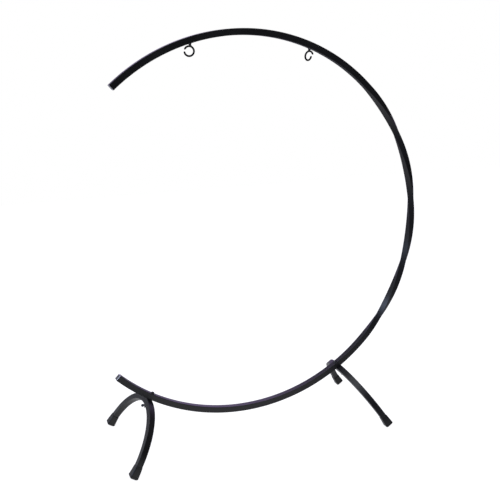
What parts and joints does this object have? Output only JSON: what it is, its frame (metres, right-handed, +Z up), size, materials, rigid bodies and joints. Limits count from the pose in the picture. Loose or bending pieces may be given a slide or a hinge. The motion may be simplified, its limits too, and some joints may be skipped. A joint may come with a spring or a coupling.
{
  "type": "hammock stand",
  "caption": "Tall open-ring stand for hanging a hammock chair: bent square tube with a twisted back, swivelling arched legs with rubber feet, open hooks at the top.",
  "frame": {"origin": "middle of the floor under the stand's bounding box", "axes": "+Z up, +X towards the twisted back of the ring, +Y to the stand's right as seen from its open front; the ring lies in the XZ plane"},
  "size_m": [1.7305, 0.6264, 2.1036],
  "materials": {
    "coated_steel": "semi-gloss black powder coat",
    "zinc_steel": "zinc-plated, satin",
    "foot_rubber": "moulded black rubber",
    "spacer_nylon": "moulded black nylon"
  },
  "bodies": {
    "root": {"lower_arc_tube": "coated_steel", "back_twist_tube": "coated_steel", "upper_arc_tube": "coated_steel", "lower_joint_sleeve": "zinc_steel", "upper_joint_sleeve": "zinc_steel", "joint_weld_nuts": "zinc_steel", "joint_screws": "coated_steel", "front_leg_spacer": "spacer_nylon", "front_leg_bolt": "coated_steel", "front_hook_insert": "zinc_steel", "front_hook_lock_nut": "coated_steel", "rear_leg_spacer": "spacer_nylon", "rear_leg_bolt": "coated_steel", "rear_hook_insert": "zinc_steel", "rear_hook_lock_nut": "coated_steel"},
    "front_leg": {"front_leg_tube": "coated_steel", "front_left_foot_cap": "foot_rubber", "front_right_foot_cap": "foot_rubber"},
    "front_clamp": {"front_leg_washer": "zinc_steel"},
    "front_wing": {"front_wing_nut": "coated_steel"},
    "front_hook": {"front_hook": "coated_steel"},
    "rear_leg": {"rear_leg_tube": "coated_steel", "rear_left_foot_cap": "foot_rubber", "rear_right_foot_cap": "foot_rubber"},
    "rear_clamp": {"rear_leg_washer": "zinc_steel"},
    "rear_wing": {"rear_wing_nut": "coated_steel"},
    "rear_hook": {"rear_hook": "coated_steel"}
  },
  "joints": [
    {"name": "front_leg_swivel", "type": "hinge", "parent": "root", "child": "front_leg", "pos_m": [-0.68399, 0, 0.26324], "axis": [-0.5446, 0, -0.8387], "range_deg": [-90, 90]},
    {"name": "front_clamp_travel", "type": "slide", "parent": "front_leg", "child": "front_clamp", "axis": [-0.5446, 0, -0.8387], "range_m": [0, 0.00375]},
    {"name": "front_wing_turn", "type": "hinge", "parent": "front_clamp", "child": "front_wing", "pos_m": [-0.70469, 0, 0.23137], "axis": [-0.5446, 0, -0.8387], "range_deg": [0, 1080]},
    {"name": "front_hook_turn", "type": "hinge", "parent": "root", "child": "front_hook", "pos_m": [-0.40427, 0, 2.03467], "axis": [-0.274, 0, 0.9617], "range_deg": [-180, 180]},
    {"name": "rear_leg_swivel", "type": "hinge", "parent": "root", "child": "rear_leg", "pos_m": [0.40638, 0, 0.26324], "axis": [0.5446, 0, -0.8387], "range_deg": [-90, 90]},
    {"name": "rear_clamp_travel", "type": "slide", "parent": "rear_leg", "child": "rear_clamp", "axis": [0.5446, 0, -0.8387], "range_m": [0, 0.00375]},
    {"name": "rear_wing_turn", "type": "hinge", "parent": "rear_clamp", "child": "rear_wing", "pos_m": [0.42707, 0, 0.23137], "axis": [0.5446, 0, -0.8387], "range_deg": [0, 1080]},
    {"name": "rear_hook_turn", "type": "hinge", "parent": "root", "child": "rear_hook", "pos_m": [0.21633, 0, 2.00432], "axis": [0.3665, 0, 0.9304], "range_deg": [-180, 180]}
  ],
  "couplings": [
    {"joint": "front_wing_turn", "follows": "front_clamp_travel", "rad_per_m": 5026.5},
    {"joint": "rear_wing_turn", "follows": "rear_clamp_travel", "rad_per_m": 5026.5}
  ]
}
